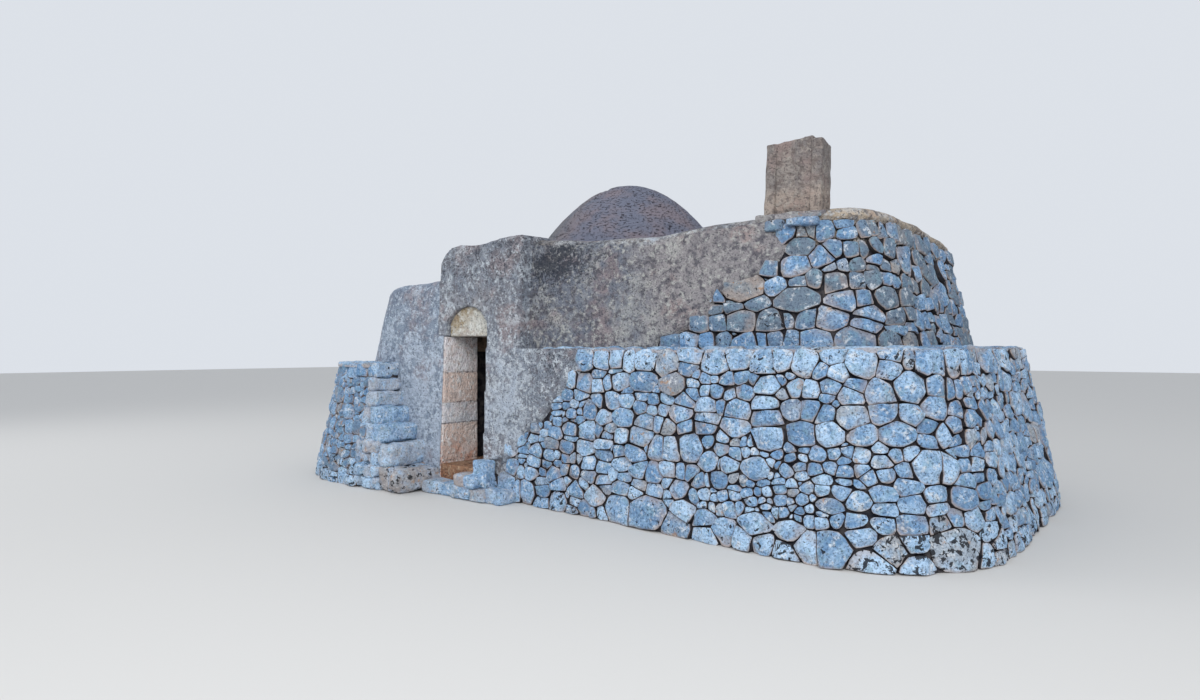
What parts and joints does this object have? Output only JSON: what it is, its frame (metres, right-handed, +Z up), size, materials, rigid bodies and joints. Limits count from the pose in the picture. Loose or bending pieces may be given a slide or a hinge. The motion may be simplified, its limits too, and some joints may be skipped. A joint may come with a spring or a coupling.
{
  "type": "trullo house",
  "caption": "Low dry stone trullo house in two battered tiers, with a plastered portal, an arched niche over the doorway, a domed room and a slab chimney.",
  "frame": {"origin": "on the ground under the middle of the round room, on the house's flat underside", "axes": "+Z up, the facade with the doorway looks along -Y, +X runs along the facade to the chimney end"},
  "size_m": [8.8257, 5.8854, 3.9],
  "materials": {
    "field_stone": "rough, pale grey limestone with dark lichen",
    "lime_plaster": "weathered, mottled lime plaster",
    "dome_plaster": "pitted brown render",
    "tufa": "sawn soft tufa, weathered",
    "roof_paving": "weathered lime screed",
    "worn_stone": "worn and stained stone"
  },
  "bodies": {
    "root": {"chimney_back_slab": "tufa", "chimney_footing": "field_stone", "chimney_front_slab": "tufa", "chimney_left_slab": "tufa", "chimney_right_slab": "tufa", "coping_front": "lime_plaster", "coping_left": "lime_plaster", "coping_near_corner": "lime_plaster", "coping_rear": "lime_plaster", "coping_side": "lime_plaster", "dome_cap": "dome_plaster", "dome_ring": "dome_plaster", "door_platform": "field_stone", "door_step": "field_stone", "inner_lintel": "tufa", "lower_back_left_wall": "field_stone", "lower_back_wall": "field_stone", "lower_core": "field_stone", "lower_front_left_wall": "field_stone", "lower_front_right_wall": "field_stone", "lower_front_wall": "field_stone", "lower_left_wall": "field_stone", "lower_near_corner": "field_stone", "lower_right_side": "field_stone", "lunette_slab": "tufa", "passage_ceiling": "lime_plaster", "portal_head": "lime_plaster", "portal_left_jamb": "lime_plaster", "portal_right_pier": "lime_plaster", "roof_paving": "roof_paving", "room_floor": "worn_stone", "shoulder_back": "lime_plaster", "shoulder_front": "lime_plaster", "shoulder_wall": "lime_plaster", "stepped_end": "field_stone", "threshold": "worn_stone", "upper_back_left_wall": "field_stone", "upper_back_wall": "field_stone", "upper_core": "field_stone", "upper_front_left_wall": "field_stone", "upper_front_right_wall": "field_stone", "upper_front_wall": "field_stone", "upper_left_wall": "field_stone", "upper_near_corner": "field_stone", "upper_right_side": "field_stone"}
  },
  "joints": []
}
